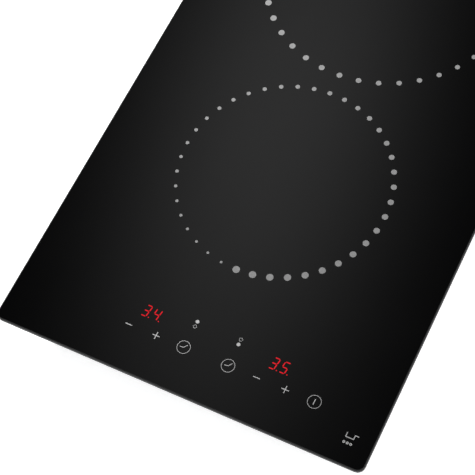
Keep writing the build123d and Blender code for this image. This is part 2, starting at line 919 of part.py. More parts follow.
def make_coil_carrier():
    """A plate on the tray's lugs, with seats for the coil springs and holes for the leads."""
    with BuildPart() as coil_carrier:
        with BuildSketch(Plane.XY.offset(carrier_bottom_z)):
            with Locations((0, carrier_centre_y)):
                width = 2 * (tray_inner_x - carrier_clearance)
                RectangleRounded(width, carrier_depth, carrier_corner_radius)
                with GridLocations(2 * carrier_screw_x, carrier_screw_pitch, 2, 3):
                    Circle(screw_hole_radius, mode=Mode.SUBTRACT)
            for zone in (front_zone, rear_zone):
                with Locations((0, zone.centre_y)):
                    Circle(sensor_lead_shift + passage_radius, mode=Mode.SUBTRACT)
                with Locations((zone.lead_x, zone.centre_y)):
                    passage = 2 * (lead_spread + passage_radius)
                    SlotOverall(passage, 2 * passage_radius, rotation=90, mode=Mode.SUBTRACT)
        extrude(amount=carrier_thickness)
        for zone in (front_zone, rear_zone):
            with Locations((0, zone.centre_y, carrier_top_z)):
                with PolarLocations(zone.spring_circle, spring_count, start_angle=90):
                    Cylinder(seat_radius, seat_height, align=ON_TOP)
    return coil_carrier


# Power electronics


def make_power_board():
    with BuildPart() as power_board:
        with BuildSketch(Plane.XY.offset(board_bottom_z)):
            with Locations((0, power_board_y)):
                Rectangle(power_board_width, power_board_depth)
            with Locations((0, board_screw_y)):
                with GridLocations(board_screw_pitch_x, board_screw_pitch_y, 2, 3):
                    Circle(screw_hole_radius, mode=Mode.SUBTRACT)
        extrude(amount=board_thickness)
    return power_board


def make_heat_sink():
    """A finned extrusion on two end feet, with room under its base for the power devices."""
    base_z = board_top_z + device_height
    fin_pitch = (sink_width - sink_fin_thickness) / (sink_fin_count - 1)
    with BuildPart() as heat_sink:
        with BuildSketch(Plane.XZ.offset(-sink_y - sink_length / 2)):
            with Locations((sink_x, base_z)):
                Rectangle(sink_width, sink_base, align=(Align.CENTER, Align.MIN))
            with Locations((sink_x, base_z + sink_base + sink_fin_height / 2)):
                with GridLocations(fin_pitch, fin_pitch, sink_fin_count, 1):
                    Rectangle(sink_fin_thickness, sink_fin_height)
        extrude(amount=sink_length)
        with Locations((sink_x, sink_y, board_top_z)):
            with GridLocations(sink_width, sink_length - sink_leg, 1, 2):
                Box(sink_width, sink_leg, device_height, align=ON_TOP)
    return heat_sink


def add_power_device(size, side):
    """A flat device under the heat sink, with three bent legs towards the given side."""
    body_length, body_width = size
    Box(body_length, body_width, device_height, align=ON_TOP)
    leg_centre = side * (body_length + device_leg_length) / 2
    leg_end = side * (body_length / 2 + device_leg_length - device_leg_thickness / 2)
    for step in (-1, 0, 1):
        with Locations((leg_centre, step * device_leg_pitch, device_height / 2)):
            Box(device_leg_length, device_leg_width, device_leg_thickness)
        with Locations((leg_end, step * device_leg_pitch, device_height / 2)):
            Box(device_leg_thickness, device_leg_width, device_height / 2, align=HANGING)


def make_power_transistors():
    with BuildPart() as power_transistors:
        with Locations((transistor_x, sink_y, board_top_z)):
            with GridLocations(transistor_pitch, transistor_pitch, 1, transistor_count):
                add_power_device(transistor_size, 1)
    return power_transistors


def make_bridge_rectifier():
    with BuildPart() as bridge_rectifier:
        with Locations((rectifier_x, sink_y, board_top_z)):
            add_power_device(rectifier_size, -1)
    return bridge_rectifier


def make_capacitors(size, place, pitch, count):
    """A row of film capacitors on the power board, with rounded cases."""
    length, width, height = size
    with BuildPart() as capacitors:
        with BuildSketch(Plane.XY.offset(board_top_z)):
            with Locations(place):
                with GridLocations(pitch, pitch, 1, count):
                    RectangleRounded(length, width, capacitor_radius)
        extrude(amount=height)
        top_faces = capacitors.faces().filter_by(Axis.Z).group_by(Axis.Z)[-1]
        chamfer(top_faces.edges(), capacitor_bevel)
    return capacitors


def make_filter_choke():
    """A ring core on a base, wound with two groups of wire loops."""
    core_bottom = board_top_z + choke_base + 2 * (choke_wire_radius + choke_wire_clearance)
    section_width = choke_outer_radius - choke_inner_radius + 2 * choke_wire_clearance
    section_height = choke_height + 2 * choke_wire_clearance
    middle_radius = (choke_inner_radius + choke_outer_radius) / 2
    loop_centre = (middle_radius, 0, core_bottom + choke_height / 2)
    loop_plane = Plane(origin=loop_centre, x_dir=(1, 0, 0), z_dir=(0, -1, 0))
    loop_margin = 2 * choke_wire_radius
    with BuildPart() as wire_loop:
        with BuildSketch(loop_plane.offset(-choke_wire_radius)):
            loop_width = section_width + 2 * loop_margin
            RectangleRounded(loop_width, section_height + 2 * loop_margin, loop_margin)
            Rectangle(section_width, section_height, mode=Mode.SUBTRACT)
        extrude(amount=2 * choke_wire_radius)
    with BuildPart() as filter_choke:
        with BuildSketch(Plane.XY.offset(core_bottom)):
            with Locations(choke_at):
                draw_ring(choke_outer_radius, choke_outer_radius - choke_inner_radius)
        extrude(amount=choke_height)
        with Locations((choke_at[0], choke_at[1], 0)):
            for side_angle in (0, 180):
                first_angle = side_angle - choke_loop_spread / 2
                with PolarLocations(0, choke_wires, first_angle, choke_loop_spread, endpoint=True):
                    add(wire_loop.part)
        with Locations((choke_at[0], choke_at[1], board_top_z)):
            Cylinder(choke_outer_radius + loop_margin, choke_base, align=ON_TOP)
    return filter_choke


def make_mains_relay():
    length, width, height = relay_size
    with BuildPart() as mains_relay:
        with Locations((relay_at[0], relay_at[1], board_top_z)):
            Box(length, width, height, align=ON_TOP)
        fillet(mains_relay.edges().filter_by(Axis.Z), capacitor_radius)
    return mains_relay


def make_mains_fuse():
    """A fuse in two clips that stand on the power board."""
    axis_z = board_top_z + fuse_height
    with BuildPart() as mains_fuse:
        with Locations(Location((fuse_at[0], fuse_at[1], axis_z), (0, 90, 0))):
            Cylinder(fuse_radius, fuse_length)
            for side in (-1, 1):
                with Locations((0, 0, side * (fuse_length - fuse_cap_length) / 2)):
                    Cylinder(fuse_cap_radius, fuse_cap_length)
        with Locations((fuse_at[0], fuse_at[1], board_top_z)):
            with GridLocations(fuse_length - fuse_cap_length, 1, 2, 1):
                Box(fuse_clip_length, 2 * fuse_cap_radius, fuse_height, align=ON_TOP)
    return mains_fuse


def make_supply_transformer():
    """A small transformer: a wound bobbin inside its ferrite core."""
    length, width, height = transformer_size
    with BuildPart() as supply_transformer:
        with Locations((transformer_at[0], transformer_at[1], board_top_z)):
            Box(length, transformer_core, height, align=ON_TOP)
            with Locations((0, 0, transformer_rim)):
                Box(transformer_winding, width, height - 2 * transformer_rim, align=ON_TOP)
            Box(length, width, transformer_rim, align=ON_TOP)
    return supply_transformer


def make_control_chips():
    length, width, height = chip_size
    with BuildPart() as control_chips:
        with Locations(*[(x, y, board_top_z) for x, y in chip_places]):
            Box(length, width, height, align=ON_TOP)
    return control_chips


def make_terminal_block():
    length, width, height = terminal_block_size
    x, y = terminal_block_at
    with BuildPart() as terminal_block:
        with Locations((x, y, floor_top_z)):
            Box(length, width, height, align=ON_TOP)
        with Locations((x, y, floor_top_z + height)):
            with GridLocations(terminal_pole_pitch, 1, terminal_poles, 1):
                Hole(terminal_well_radius, depth=terminal_well_depth)
        with BuildSketch(Plane.XZ.offset(-y - width / 2)):
            with Locations((x, floor_top_z + terminal_entry_height)):
                with GridLocations(terminal_pole_pitch, 1, terminal_poles, 1):
                    Circle(terminal_entry_radius)
        extrude(amount=width / 2, mode=Mode.SUBTRACT)
    return terminal_block


def make_terminal_screws():
    well_bottom_z = floor_top_z + terminal_block_size[2] - terminal_well_depth
    x, y = terminal_block_at
    with BuildPart() as terminal_screws:
        with Locations((x, y, well_bottom_z)):
            with GridLocations(terminal_pole_pitch, 1, terminal_poles, 1):
                Cylinder(terminal_screw_radius, terminal_screw_height, align=ON_TOP)
                with Locations((0, 0, terminal_screw_height)):
                    slot_length = 2 * terminal_screw_radius
                    Box(slot_length, recess_width, recess_depth, align=HANGING, mode=Mode.SUBTRACT)
    return terminal_screws


def make_terminal_cover():
    """A lid over the terminals, open at the back where the cable comes in."""
    length, width, height = terminal_block_size
    x, y = terminal_block_at
    inner_length = length + 2 * cover_clearance
    inner_width = width + 2 * cover_clearance
    inner_height = height + cover_clearance
    with BuildPart() as terminal_cover:
        with Locations((x, y, floor_top_z)):
            outer_length = inner_length + 2 * cover_wall
            outer_width = inner_width + 2 * cover_wall
            Box(outer_length, outer_width, inner_height + cover_wall, align=ON_TOP)
            Box(inner_length, inner_width, inner_height, align=ON_TOP, mode=Mode.SUBTRACT)
            with Locations((0, inner_width / 2, 0)):
                Box(inner_length, inner_width, inner_height, align=ON_TOP, mode=Mode.SUBTRACT)
    return terminal_cover


# Cooling fan


def make_fan_frame():
    """A square fan housing whose struts carry the motor above the rotor."""
    x, y = fan_at
    with BuildPart() as fan_frame:
        with BuildSketch(Plane.XY.offset(floor_top_z)):
            with Locations(fan_at):
                RectangleRounded(fan_size, fan_size, fan_corner_radius)
                Circle(fan_bore_radius, mode=Mode.SUBTRACT)
        extrude(amount=fan_height)
        with BuildSketch(Plane.XY.offset(fan_top_z)):
            with Locations(fan_at):
                Circle(fan_motor_radius)
                Rectangle(2 * fan_bore_radius + fan_strut_width, fan_strut_width, rotation=45)
                Rectangle(2 * fan_bore_radius + fan_strut_width, fan_strut_width, rotation=-45)
        extrude(amount=-fan_strut_height)
        with Locations((x, y, fan_top_z)):
            Hole(fan_shaft_radius + fan_shaft_clearance, depth=fan_strut_height)
            with GridLocations(fan_screw_pitch, fan_screw_pitch, 2, 2):
                Hole(screw_hole_radius, depth=fan_height)
    return fan_frame


def make_fan_rotor():
    """A hub with curved blades: its shaft runs in the motor plate."""
    hub_bottom_z = floor_top_z + rotor_lift
    blade_root = rotor_hub_radius - blade_thickness
    blade_height = hub_bottom_z + rotor_hub_height / 2
    section_plane = Plane(origin=(blade_root, 0, blade_height), x_dir=(0, 1, 0), z_dir=(1, 0, 0))
    trailing_edge = (-blade_chord / 2, -blade_rise / 2)
    leading_edge = (blade_chord / 2, blade_rise / 2)
    camber_line = ThreePointArc(trailing_edge, (blade_sag, -blade_sag), leading_edge)
    with BuildPart() as blade:
        with BuildSketch(section_plane):
            SlotArc(camber_line, blade_thickness)
        extrude(amount=rotor_tip_radius - blade_root)
    with BuildPart() as fan_rotor:
        with Locations((fan_at[0], fan_at[1], hub_bottom_z)):
            Cylinder(rotor_hub_radius, rotor_hub_height, align=ON_TOP)
        fillet(fan_rotor.faces().sort_by(Axis.Z)[0].edges(), 2 * blade_thickness)
        with Locations((fan_at[0], fan_at[1], hub_bottom_z + rotor_hub_height)):
            Cylinder(fan_shaft_radius, fan_top_z - hub_bottom_z - rotor_hub_height, align=ON_TOP)
        with Locations((fan_at[0], fan_at[1], 0)):
            with PolarLocations(0, rotor_blades):
                add(blade.part)
    return fan_rotor


def make_fan_screws():
    with BuildPart() as fan_screws:
        with Locations((fan_at[0], fan_at[1], fan_top_z)):
            with GridLocations(fan_screw_pitch, fan_screw_pitch, 2, 2):
                add_screw(fan_height + tray_wall)
    return fan_screws


# Controls


def make_control_board():
    with BuildPart() as control_board:
        with BuildSketch(Plane.XY.offset(control_bottom_z)):
            with Locations((control_x, control_y)):
                Rectangle(control_width, control_depth)
        extrude(amount=board_thickness)
    return control_board


def make_control_bracket():
    """A shallow plastic dish on four legs that holds the control board up under the glass."""
    leg_length = control_top_z - bracket_depth - floor_top_z
    outer_width = control_width + 2 * (bracket_clearance + bracket_wall)
    outer_depth = control_depth + 2 * (bracket_clearance + bracket_wall)
    with BuildPart() as control_bracket:
        with Locations((control_x, control_y, control_top_z)):
            Box(outer_width, outer_depth, bracket_depth, align=HANGING)
            pocket_width = control_width + 2 * bracket_clearance
            pocket_depth = control_depth + 2 * bracket_clearance
            Box(pocket_width, pocket_depth, board_thickness, align=HANGING, mode=Mode.SUBTRACT)
            hollow_width = control_width - 2 * bracket_ledge
            hollow_depth = control_depth - 2 * bracket_ledge
            hollow_height = bracket_depth - bracket_wall
            Box(hollow_width, hollow_depth, hollow_height, align=HANGING, mode=Mode.SUBTRACT)
        with BuildSketch(Plane.XY.offset(control_top_z - bracket_depth)):
            with Locations((ribbon_x, ribbon_start_y)):
                Rectangle(*ribbon_opening)
        extrude(amount=bracket_wall, mode=Mode.SUBTRACT)
        with Locations((control_x, control_y, floor_top_z)):
            leg_pitch_x = outer_width - 2 * bracket_leg_inset
            leg_pitch_y = outer_depth - 2 * bracket_leg_inset
            with GridLocations(leg_pitch_x, leg_pitch_y, 2, 2):
                Cylinder(bracket_leg_radius, leg_length, align=ON_TOP)
    return control_bracket


def make_touch_springs():
    """A sensing spring between the control board and the glass, under each key."""
    spring = make_spring(
        touch_spring_radius, touch_wire_radius, touch_spring_length, touch_spring_turns
    )
    places = [(x, key_row_y, control_top_z) for x in left_keys + right_keys]
    with BuildPart() as touch_springs:
        with Locations(*places):
            add(spring.part)
    return touch_springs


def make_digit_displays():
    """A two-digit display module under each pair of lit digits."""
    length, width, height = display_size
    places = [(x, display_row_y, control_top_z) for x in (left_display_x, right_display_x)]
    with BuildPart() as digit_displays:
        with Locations(*places):
            Box(length, width, height, align=ON_TOP)
    return digit_displays


def make_light_pipes():
    """Light pipes under the zone indicators."""
    height = display_size[2]
    with BuildPart() as light_pipes:
        for x in (left_indicator_x, right_indicator_x):
            with Locations((x, indicator_row_y, control_top_z)):
                with GridLocations(1, indicator_pitch, 1, 2):
                    Cylinder(light_pipe_radius, height, align=ON_TOP)
    return light_pipes


def make_ribbon_connectors():
    """A plug under the control board and one on the power board."""
    length, width, height = connector_size
    with BuildPart() as ribbon_connectors:
        with Locations((ribbon_x, ribbon_start_y, control_bottom_z)):
            Box(length, width, height, align=HANGING)
        with Locations((ribbon_x, ribbon_end_y, board_top_z)):
            Box(length, width, height, align=ON_TOP)
    return ribbon_connectors


def make_ribbon_cable():
    start_z = control_bottom_z - connector_size[2]
    end_z = board_top_z + connector_size[2]
    points = [(ribbon_x, ribbon_start_y, start_z), (ribbon_x, ribbon_start_y, ribbon_run_z)]
    points += [(ribbon_x, ribbon_end_y, ribbon_run_z), (ribbon_x, ribbon_end_y, end_z)]
    with BuildPart() as ribbon_cable:
        with BuildLine() as route:
            FilletPolyline(*points, radius=list(ribbon_radii))
        with BuildSketch(Plane(origin=points[0], x_dir=(1, 0, 0), z_dir=(0, 0, -1))):
            Rectangle(ribbon_width, ribbon_thickness)
        sweep(path=route.wires()[0])
    return ribbon_cable


# Clamps


def make_fixing_clamp(side_x, side_y):
    """An arm parked along the tray's side, which swings out under the worktop."""
    pivot = (side_x * clamp_x, side_y * clamp_y)
    tip_y = pivot[1] - side_y * clamp_length
    with BuildPart() as fixing_clamp:
        with BuildSketch(Plane.XY.offset(clamp_bottom_z)):
            with Locations(pivot):
                Circle(clamp_width / 2)
            with Locations((pivot[0], (pivot[1] + tip_y) / 2)):
                Rectangle(clamp_width, clamp_length)
            with Locations(pivot):
                Circle(clamp_hole_radius, mode=Mode.SUBTRACT)
        extrude(amount=clamp_thickness)
        with Locations((pivot[0], tip_y + side_y * clamp_lip_length / 2, clamp_bottom_z)):
            Box(clamp_width, clamp_lip_length, clamp_thickness + clamp_lip, align=ON_TOP)
    return fixing_clamp


def make_clamp_screws():
    """The screws that the clamps swivel on, driven from below."""
    shank_length = floor_top_z - clamp_head_z
    with BuildPart() as clamp_screws:
        with Locations((0, 0, clamp_head_z)):
            with GridLocations(2 * clamp_x, 2 * clamp_y, 2, 2):
                Cylinder(clamp_head_radius, clamp_head_height, align=HANGING)
                Cylinder(clamp_screw_radius, shank_length, align=ON_TOP)
        with Locations((0, 0, clamp_head_z - clamp_head_height)):
            with GridLocations(2 * clamp_x, 2 * clamp_y, 2, 2):
                Box(clamp_recess, recess_width, recess_depth, align=ON_TOP, mode=Mode.SUBTRACT)
                Box(recess_width, clamp_recess, recess_depth, align=ON_TOP, mode=Mode.SUBTRACT)
    return clamp_screws


pieces = {
    "glass_plate": make_glass_plate(),
    "symbols_print": make_symbols_print(),
    "display_digits": make_display_digits(),
    "edge_seal": make_edge_seal(),
    "adhesive_bead": make_adhesive_bead(),
    "mounting_frame": make_mounting_frame(),
    "base_tray": make_base_tray(),
    "short_screws": make_short_screws(),
    "cable_inlet_bush": make_cable_inlet_bush(),
    "coil_carrier": make_coil_carrier(),
    "power_board": make_power_board(),
    "heat_sink": make_heat_sink(),
    "power_transistors": make_power_transistors(),
    "bridge_rectifier": make_bridge_rectifier(),
    "resonance_capacitors": make_capacitors(
        resonance_capacitor,
        resonance_capacitor_at,
        resonance_capacitor_pitch,
        resonance_capacitor_count,
    ),
    "link_capacitors": make_capacitors(link_capacitor, link_capacitor_at, link_capacitor_pitch, 2),
    "mains_capacitors": make_capacitors(
        mains_capacitor, mains_capacitor_at, mains_capacitor_pitch, 2
    ),
    "filter_choke": make_filter_choke(),
    "mains_relay": make_mains_relay(),
    "mains_fuse": make_mains_fuse(),
    "supply_transformer": make_supply_transformer(),
    "control_chips": make_control_chips(),
    "terminal_block": make_terminal_block(),
    "terminal_screws": make_terminal_screws(),
    "terminal_cover": make_terminal_cover(),
    "fan_frame": make_fan_frame(),
    "fan_rotor": make_fan_rotor(),
    "fan_screws": make_fan_screws(),
    "control_board": make_control_board(),
    "control_bracket": make_control_bracket(),
    "touch_springs": make_touch_springs(),
    "digit_displays": make_digit_displays(),
    "light_pipes": make_light_pipes(),
    "ribbon_connectors": make_ribbon_connectors(),
    "ribbon_cable": make_ribbon_cable(),
    "clamp_screws": make_clamp_screws(),
}

for zone in (front_zone, rear_zone):
    pieces[f"{zone.name}_zone_print"] = make_zone_print(zone)
    pieces[f"{zone.name}_coil_winding"] = make_coil_winding(zone)
    pieces[f"{zone.name}_coil_former"] = make_coil_former(zone)
    pieces[f"{zone.name}_ferrite_bars"] = make_ferrite_bars(zone)
    pieces[f"{zone.name}_coil_shield"] = make_coil_shield(zone)
    pieces[f"{zone.name}_insulation_sheet"] = make_insulation_sheet(zone)
    pieces[f"{zone.name}_heat_sensor"] = make_heat_sensor(zone)
    pieces[f"{zone.name}_coil_springs"] = make_coil_springs(zone)
    pieces[f"{zone.name}_coil_leads"] = make_coil_leads(zone)
    pieces[f"{zone.name}_sensor_lead"] = make_sensor_lead(zone)

for row_name, side_y in (("front", -1), ("rear", 1)):
    for column_name, side_x in (("left", -1), ("right", 1)):
        pieces[f"{row_name}_{column_name}_clamp"] = make_fixing_clamp(side_x, side_y)

os.makedirs("parts", exist_ok=True)
for name, piece in pieces.items():
    piece.part.label = name
    export_step(piece.part, f"parts/{name}.step")
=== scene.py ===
import json
from math import cos, pi, radians, sin

import bmesh
import bpy
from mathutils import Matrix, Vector


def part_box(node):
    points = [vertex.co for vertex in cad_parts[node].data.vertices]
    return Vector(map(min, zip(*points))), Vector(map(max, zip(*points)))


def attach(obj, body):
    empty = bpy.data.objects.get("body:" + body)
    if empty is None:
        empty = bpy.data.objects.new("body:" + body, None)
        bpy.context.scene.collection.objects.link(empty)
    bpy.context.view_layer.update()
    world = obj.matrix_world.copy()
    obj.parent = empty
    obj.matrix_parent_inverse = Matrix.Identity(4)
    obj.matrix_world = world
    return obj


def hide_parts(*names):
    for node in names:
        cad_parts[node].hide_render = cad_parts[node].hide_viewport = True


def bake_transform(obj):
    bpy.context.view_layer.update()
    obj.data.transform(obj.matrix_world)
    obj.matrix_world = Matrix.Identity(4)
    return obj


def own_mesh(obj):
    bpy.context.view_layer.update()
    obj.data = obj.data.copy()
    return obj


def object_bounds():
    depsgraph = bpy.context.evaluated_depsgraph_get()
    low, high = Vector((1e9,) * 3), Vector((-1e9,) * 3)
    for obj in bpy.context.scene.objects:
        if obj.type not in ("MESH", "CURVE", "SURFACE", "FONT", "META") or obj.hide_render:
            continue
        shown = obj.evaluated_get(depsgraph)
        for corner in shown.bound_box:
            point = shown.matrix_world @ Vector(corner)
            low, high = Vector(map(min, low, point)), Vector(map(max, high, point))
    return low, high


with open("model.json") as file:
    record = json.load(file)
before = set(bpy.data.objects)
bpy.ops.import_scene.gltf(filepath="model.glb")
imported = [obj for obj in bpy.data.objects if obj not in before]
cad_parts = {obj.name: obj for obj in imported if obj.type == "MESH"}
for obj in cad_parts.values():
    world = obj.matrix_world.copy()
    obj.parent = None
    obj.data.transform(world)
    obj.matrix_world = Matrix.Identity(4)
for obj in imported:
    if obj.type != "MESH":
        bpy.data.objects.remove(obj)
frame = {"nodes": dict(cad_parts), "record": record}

cad_low, cad_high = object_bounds()

MM = 0.001
WHITE = (1.0, 1.0, 1.0, 1.0)
scene = bpy.context.scene
zones = ("front", "rear")


# Camera: high above the front right corner, looking down at the front zone. It was fitted to the
# dot rings and the plate's edges.

camera_data = bpy.data.cameras.new("camera")
camera_data.sensor_width = 36.0
camera_data.lens = 117.111
camera = bpy.data.objects.new("camera", camera_data)
camera.location = (0.30627, -0.55088, 0.99283)
camera.rotation_euler = (radians(27.3725), radians(5.8176), radians(26.1516))
scene.collection.objects.link(camera)
scene.camera = camera


class Graph:
    """A node tree under construction: each method adds a node and returns its output."""

    def __init__(self, tree):
        self.tree = tree
        self.tree.nodes.clear()

    def put(self, socket, value):
        """Links a node's output to the socket, or sets the socket to a plain value."""
        if isinstance(value, bpy.types.NodeSocket):
            self.tree.links.new(value, socket)
        elif value is not None:
            socket.default_value = value

    def node(self, kind, inputs=None, **settings):
        node = self.tree.nodes.new(kind)
        for key, value in settings.items():
            setattr(node, key, value)
        for key, value in (inputs or {}).items():
            self.put(node.inputs[key], value)
        return node

    def math(self, operation, first, second=None, third=None):
        inputs = {0: first, 1: second, 2: third}
        return self.node("ShaderNodeMath", inputs, operation=operation).outputs[0]

    def vector(self, operation, first, second=None):
        inputs = {0: first, 1: second}
        return self.node("ShaderNodeVectorMath", inputs, operation=operation).outputs["Vector"]

    def length(self, vector):
        node = self.node("ShaderNodeVectorMath", {0: vector}, operation="LENGTH")
        return node.outputs["Value"]

    def scaled(self, vector, factor):
        """The vector or colour times a factor, which is a number or a node's output."""
        inputs = {0: vector, "Scale": factor}
        return self.node("ShaderNodeVectorMath", inputs, operation="SCALE").outputs["Vector"]

    def split(self, vector):
        """The outputs X, Y and Z of a vector."""
        return self.node("ShaderNodeSeparateXYZ", {0: vector}).outputs

    def place(self, stretch=(1, 1, 1)):
        """Places in millimetres, in the object's own frame, stretched along each axis."""
        coordinates = self.node("ShaderNodeTexCoord").outputs["Object"]
        scale = [1 / MM / factor for factor in stretch]
        return self.vector("MULTIPLY", coordinates, scale)

    def noise(self, size, detail=3.0, stretch=(1, 1, 1)):
        """Smooth noise from 0 to 1 whose blotches are about size millimetres across."""
        inputs = {"Vector": self.place(stretch), "Scale": 1 / size, "Detail": detail}
        return self.node("ShaderNodeTexNoise", inputs).outputs["Fac"]

    def cells(self, size, output="Distance"):
        """Voronoi cells of about size millimetres."""
        inputs = {"Vector": self.place(), "Scale": 1 / size}
        return self.node("ShaderNodeTexVoronoi", inputs).outputs[output]

    def remap(self, value, low, high, to_low=0.0, to_high=1.0):
        inputs = {"Value": value, "From Min": low, "From Max": high}
        inputs.update({"To Min": to_low, "To Max": to_high})
        return self.node("ShaderNodeMapRange", inputs).outputs[0]

    def blend(self, share, first, second):
        """A colour that runs from the first to the second as share runs from 0 to 1."""
        colors = [(*end, 1.0) if isinstance(end, tuple) else end for end in (first, second)]
        inputs = {0: share, 6: colors[0], 7: colors[1]}
        return self.node("ShaderNodeMix", inputs, data_type="RGBA").outputs[2]

    def bump(self, height, depth, under=None):
        """A bump of the given depth in millimetres, for a height from 0 to 1."""
        inputs = {"Height": height, "Distance": depth * MM, "Normal": under}
        return self.node("ShaderNodeBump", inputs).outputs[0]


def shaded(color, factor):
    """The colour, darker for a factor below 1 and lighter above it."""
    return tuple(channel * factor for channel in color)


def finish(graph, color, roughness, normal=None, **shader_values):
    """Adds the surface shader; shader_values are the shader's own sockets by name."""
    inputs = {"Base Color": color, "Roughness": roughness, "Normal": normal}
    inputs.update({key.replace("_", " "): value for key, value in shader_values.items()})
    shader = graph.node("ShaderNodeBsdfPrincipled", inputs)
    output = graph.node("ShaderNodeOutputMaterial")
    graph.put(output.inputs["Surface"], shader.outputs[0])


# Finishes: each function draws one kind of surface, with its sizes in millimetres

# Painted light: the print's tone rises towards the back and falls towards the right, for light that
# falls more on the back left of the plate.
PRINT_LEVEL = 1.14             # the print's tone at the middle of the plate
PAINTED_LIGHT_GAIN_BACKWARD = 0.0009   # change of tone for each millimetre towards the back
PAINTED_LIGHT_LOSS_RIGHTWARD = 0.0016  # change of tone for each millimetre towards the right
STRAND_TWIST = 48.0            # phase of the strands for each radian round the zone
STRAND_SLANT = 2.4             # phase of the strands for each millimetre outwards or up
BRAID_SLANT = 4.0
RIBBON_PITCH = 1.27


def polished_glass(graph, color):
    """Black glass: polished on top, ground to a satin on the bevel and the edge."""
    up = graph.split(graph.node("ShaderNodeNewGeometry").outputs["Normal"])["Z"]
    ground = graph.remap(up, 0.98, 0.9)
    depth = graph.remap(graph.noise(60.0), 0.3, 0.7, 0.85, 1.15)
    body = graph.scaled(color, depth)
    edge = graph.blend(graph.noise(0.6), (0.003, 0.0031, 0.0033), (0.007, 0.0072, 0.0075))
    smear = graph.remap(graph.noise(35.0, 5.0, (1, 3, 1)), 0.35, 0.75, 0.045, 0.07)
    grind = graph.remap(graph.noise(0.25), 0.3, 0.7, 0.45, 0.6)
    roughness = graph.node("ShaderNodeMix", {0: ground, 2: smear, 3: grind}).outputs[0]
    grit = graph.math("MULTIPLY", graph.noise(0.12), ground)
    ripple = graph.bump(graph.noise(45.0, 1.0), 0.01)
    relief = graph.bump(grit, 0.012, ripple)
    finish(graph, graph.blend(ground, body, edge), roughness, relief, IOR=1.5)


def fired_ink(graph, color):
    """Ceramic print with a fine grain, and painted light: drawn lighter towards the back and the
    left and darker towards the right and the front.
    """
    grain = graph.math("MULTIPLY", graph.noise(0.12, 2.0), graph.noise(2.5, 2.0))
    place = graph.split(graph.place())
    painted_light_slope = graph.math("MULTIPLY_ADD", place["Y"], PAINTED_LIGHT_GAIN_BACKWARD, PRINT_LEVEL)
    painted_light_tone = graph.math("MULTIPLY_ADD", place["X"], -PAINTED_LIGHT_LOSS_RIGHTWARD, painted_light_slope)
    speckle = graph.blend(graph.remap(grain, 0.12, 0.4), shaded(color, 0.9), shaded(color, 1.1))
    roughness = graph.remap(grain, 0.1, 0.4, 0.62, 0.48)
    finish(graph, graph.scaled(speckle, painted_light_tone), roughness, graph.bump(grain, 0.01))


def lit_digits(graph, color):
    """Red light from the display below, slightly uneven along each bar."""
    light = graph.scaled(color, graph.remap(graph.noise(1.2, 1.0), 0.3, 0.7, 0.9, 1.12))
    body = graph.blend(graph.noise(0.2), (0.05, 0.001, 0.002), (0.08, 0.002, 0.004))
    finish(graph, body, 0.4, Emission_Color=light, Emission_Strength=1.0)


def closed_foam(graph, color):
    """Foam: pores of a few tenths of a millimetre, drawn darker towards the middle of each pore as
    painted shade.
    """
    pores = graph.cells(0.35)
    tone = graph.blend(graph.remap(pores, 0.0, 0.6), shaded(color, 0.5), shaded(color, 1.4))
    finish(graph, tone, graph.remap(pores, 0.0, 0.6, 0.98, 0.8), graph.bump(pores, 0.12))


def soft_rubber(graph, color):
    """Rubber or silicone: satin, faintly mottled, with a moulded grain."""
    mottle = graph.noise(4.0, 4.0)
    grain = graph.noise(0.18, 2.0)
    tone = graph.blend(graph.remap(mottle, 0.3, 0.7), shaded(color, 0.8), shaded(color, 1.25))
    roughness = graph.remap(mottle, 0.3, 0.7, 0.55, 0.72)
    finish(graph, tone, roughness, graph.bump(grain, 0.03))


def galvanized_sheet(graph, color):
    """Galvanized sheet: pale spangles, faint rolling lines and dull handling marks."""
    spangle = graph.node("ShaderNodeSeparateColor", {0: graph.cells(4.5, "Color")}).outputs[0]
    rolling = graph.noise(0.5, 3.0, (1, 40, 40))
    marks = graph.noise(26.0, 6.0, (1, 1, 2))
    facets = graph.blend(spangle, shaded(color, 0.78), shaded(color, 1.14))
    tone = graph.blend(graph.remap(marks, 0.5, 0.8, 0.0, 0.6), facets, shaded(color, 0.7))
    sheen = graph.remap(spangle, 0.0, 1.0, 0.3, 0.44)
    roughness = graph.math("MULTIPLY_ADD", graph.remap(marks, 0.45, 0.8), 0.12, sheen)
    relief = graph.bump(rolling, 0.006, graph.bump(spangle, 0.01))
    finish(graph, tone, roughness, relief, Metallic=1.0)


def drawn_metal(graph, color):
    """Plain metal with fine lines from front to back and small tarnished spots."""
    lines = graph.noise(0.35, 3.0, (1, 30, 1))
    spots = graph.noise(6.0, 5.0)
    tone = graph.blend(graph.remap(spots, 0.35, 0.75), shaded(color, 1.06), shaded(color, 0.8))
    roughness = graph.math("MULTIPLY_ADD", lines, 0.18, graph.remap(spots, 0.3, 0.8, 0.2, 0.36))
    finish(graph, tone, roughness, graph.bump(lines, 0.012), Metallic=1.0)


def circuit_board(graph, color):
    """Solder mask over copper tracks, which stand proud as paler lines."""
    offset = graph.scaled(graph.cells(9.0, "Color"), 7.0)
    inputs = {"Vector": graph.vector("ADD", graph.place(), offset), "Scale": 0.55}
    inputs.update({"Mortar Size": 0.012, "Brick Width": 0.9, "Row Height": 0.6})
    tracks = graph.node("ShaderNodeTexBrick", inputs).outputs["Fac"]
    pads = graph.remap(graph.cells(2.6), 0.12, 0.2, 1.0, 0.0)
    mask = graph.blend(tracks, color, shaded(color, 1.9))
    clouds = graph.remap(graph.noise(14.0), 0.3, 0.8, 0.0, 0.4)
    cloudy = graph.blend(clouds, mask, shaded(color, 0.6))
    tone = graph.blend(pads, cloudy, (0.62, 0.63, 0.6))
    roughness = graph.remap(pads, 0.0, 1.0, 0.36, 0.25)
    height = graph.math("ADD", tracks, pads)
    finish(graph, tone, roughness, graph.bump(height, 0.05))


